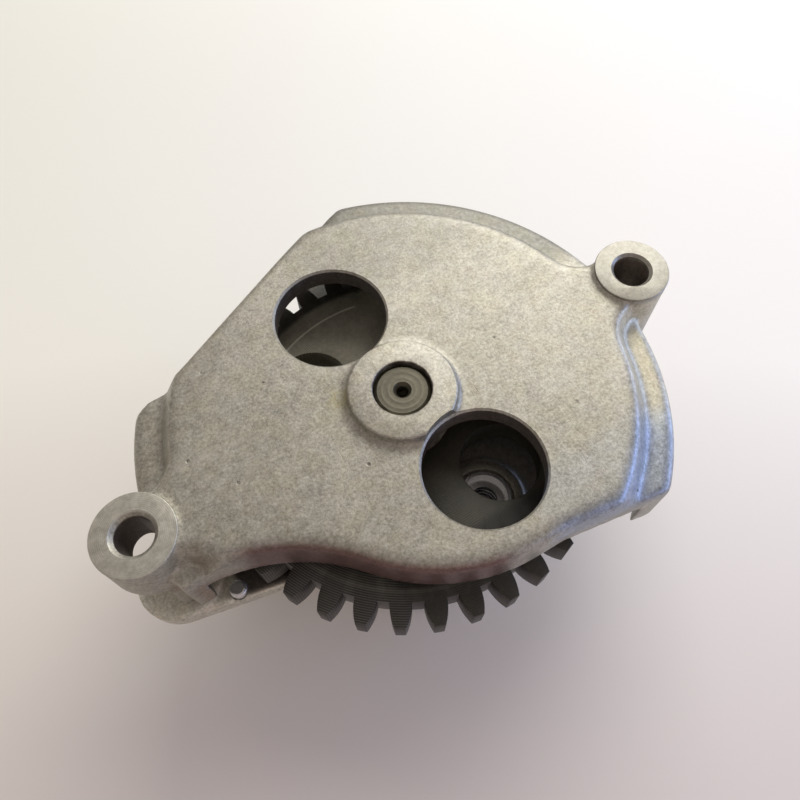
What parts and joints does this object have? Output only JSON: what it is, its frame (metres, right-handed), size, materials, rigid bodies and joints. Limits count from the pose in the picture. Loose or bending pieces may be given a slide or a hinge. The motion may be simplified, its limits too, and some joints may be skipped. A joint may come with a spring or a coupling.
{
  "type": "engine oil pump",
  "caption": "Gear-driven rotor oil pump with a die-cast cover over its spur gear, two bolt ears, a lobed rotor set, ports underneath and a relief valve.",
  "frame": {"origin": "on the shaft axis, in the port face underneath", "axes": "+Z along the shaft, from the port face to the gear cover; +X along the line of the two mounting bolts"},
  "size_m": [0.1107, 0.0824, 0.0455],
  "materials": {
    "cover_casting": "raw die casting with machined bosses",
    "body_casting": "raw die casting",
    "gear_steel": "turned dark steel, oiled",
    "shaft_steel": "turned, oiled",
    "rotor_steel": "sintered and ground",
    "bright_steel": "ground",
    "fastener_steel": "phosphated",
    "seal_rubber": "smooth"
  },
  "bodies": {
    "housing": {"gear_cover": "cover_casting", "pump_body": "body_casting", "rotor_cover": "body_casting", "rotor_cover_screws": "fastener_steel", "body_dowels": "bright_steel", "cover_dowel_sleeve": "bright_steel", "cover_locating_pin": "bright_steel", "inlet_seal": "seal_rubber", "outlet_seal": "seal_rubber", "gear_thrust_washer": "bright_steel", "relief_spring": "bright_steel", "relief_cup": "bright_steel"},
    "drive_shaft": {"pump_shaft": "shaft_steel", "driven_gear": "gear_steel", "gear_drive_pin": "bright_steel", "gear_circlip": "fastener_steel", "inner_rotor": "rotor_steel", "rotor_drive_pin": "bright_steel"},
    "rotor_ring": {"outer_rotor": "rotor_steel"},
    "relief_valve": {"relief_plunger": "bright_steel"}
  },
  "joints": [
    {"name": "shaft_spin", "type": "hinge", "parent": "housing", "child": "drive_shaft", "pos_m": [0, 0, 0.028], "axis": [0, 0, 1], "continuous": true},
    {"name": "rotor_ring_spin", "type": "hinge", "parent": "housing", "child": "rotor_ring", "pos_m": [-0.00073, 0.00208, 0.012], "axis": [0, 0, 1], "continuous": true},
    {"name": "relief_slide", "type": "slide", "parent": "housing", "child": "relief_valve", "axis": [0, 0, 1], "range_m": [0, 0.0035], "stiffness_N_per_m": 5000, "springref_m": -0.004, "deforming": ["relief_spring"]}
  ],
  "couplings": [
    {"joint": "rotor_ring_spin", "follows": "shaft_spin", "ratio": 0.8}
  ]
}
